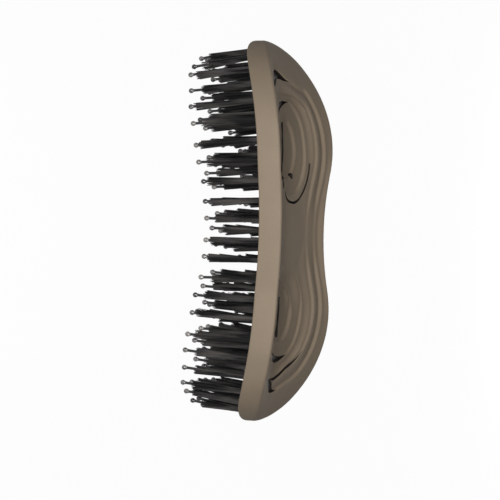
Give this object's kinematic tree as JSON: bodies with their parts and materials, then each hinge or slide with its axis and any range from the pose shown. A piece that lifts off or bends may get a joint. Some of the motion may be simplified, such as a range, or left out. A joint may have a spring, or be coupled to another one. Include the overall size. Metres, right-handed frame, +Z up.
{
  "type": "handleless styling brush",
  "caption": "Palm-held styling brush: arched peanut-shaped shell with a stepped finger basin and vent slots, over a bed of bristle tufts with ball-tipped pins.",
  "frame": {"origin": "on the surface the brush stands on, under the middle of its outline", "axes": "+X along the length, +Y across, +Z up out of the back; the pins point towards -Z"},
  "size_m": [0.14, 0.06, 0.0423],
  "materials": {
    "shell": "fine matte",
    "bed": "satin",
    "tuft": "filaments",
    "pin": "smooth",
    "ball_tip": "glossy",
    "anchor": "rolled"
  },
  "bodies": {
    "root": {"back_shell": "shell", "bristle_bed": "bed", "rim_row_tufts": "tuft", "rim_row_pins": "pin", "rim_row_ball_tips": "ball_tip", "rim_row_anchors": "anchor", "end_rows_tufts": "tuft", "end_rows_pins": "pin", "end_rows_ball_tips": "ball_tip", "end_rows_anchors": "anchor", "outer_rail_row_tufts": "tuft", "outer_rail_row_pins": "pin", "outer_rail_row_ball_tips": "ball_tip", "outer_rail_row_anchors": "anchor", "middle_rail_row_tufts": "tuft", "middle_rail_row_pins": "pin", "middle_rail_row_ball_tips": "ball_tip", "middle_rail_row_anchors": "anchor", "well_rows_tufts": "tuft", "well_rows_pins": "pin", "well_rows_ball_tips": "ball_tip", "well_rows_anchors": "anchor", "centre_rows_tufts": "tuft", "centre_rows_pins": "pin", "centre_rows_ball_tips": "ball_tip", "centre_rows_anchors": "anchor", "saddle_row_tufts": "tuft", "saddle_row_pins": "pin", "saddle_row_ball_tips": "ball_tip", "saddle_row_anchors": "anchor"}
  },
  "joints": []
}
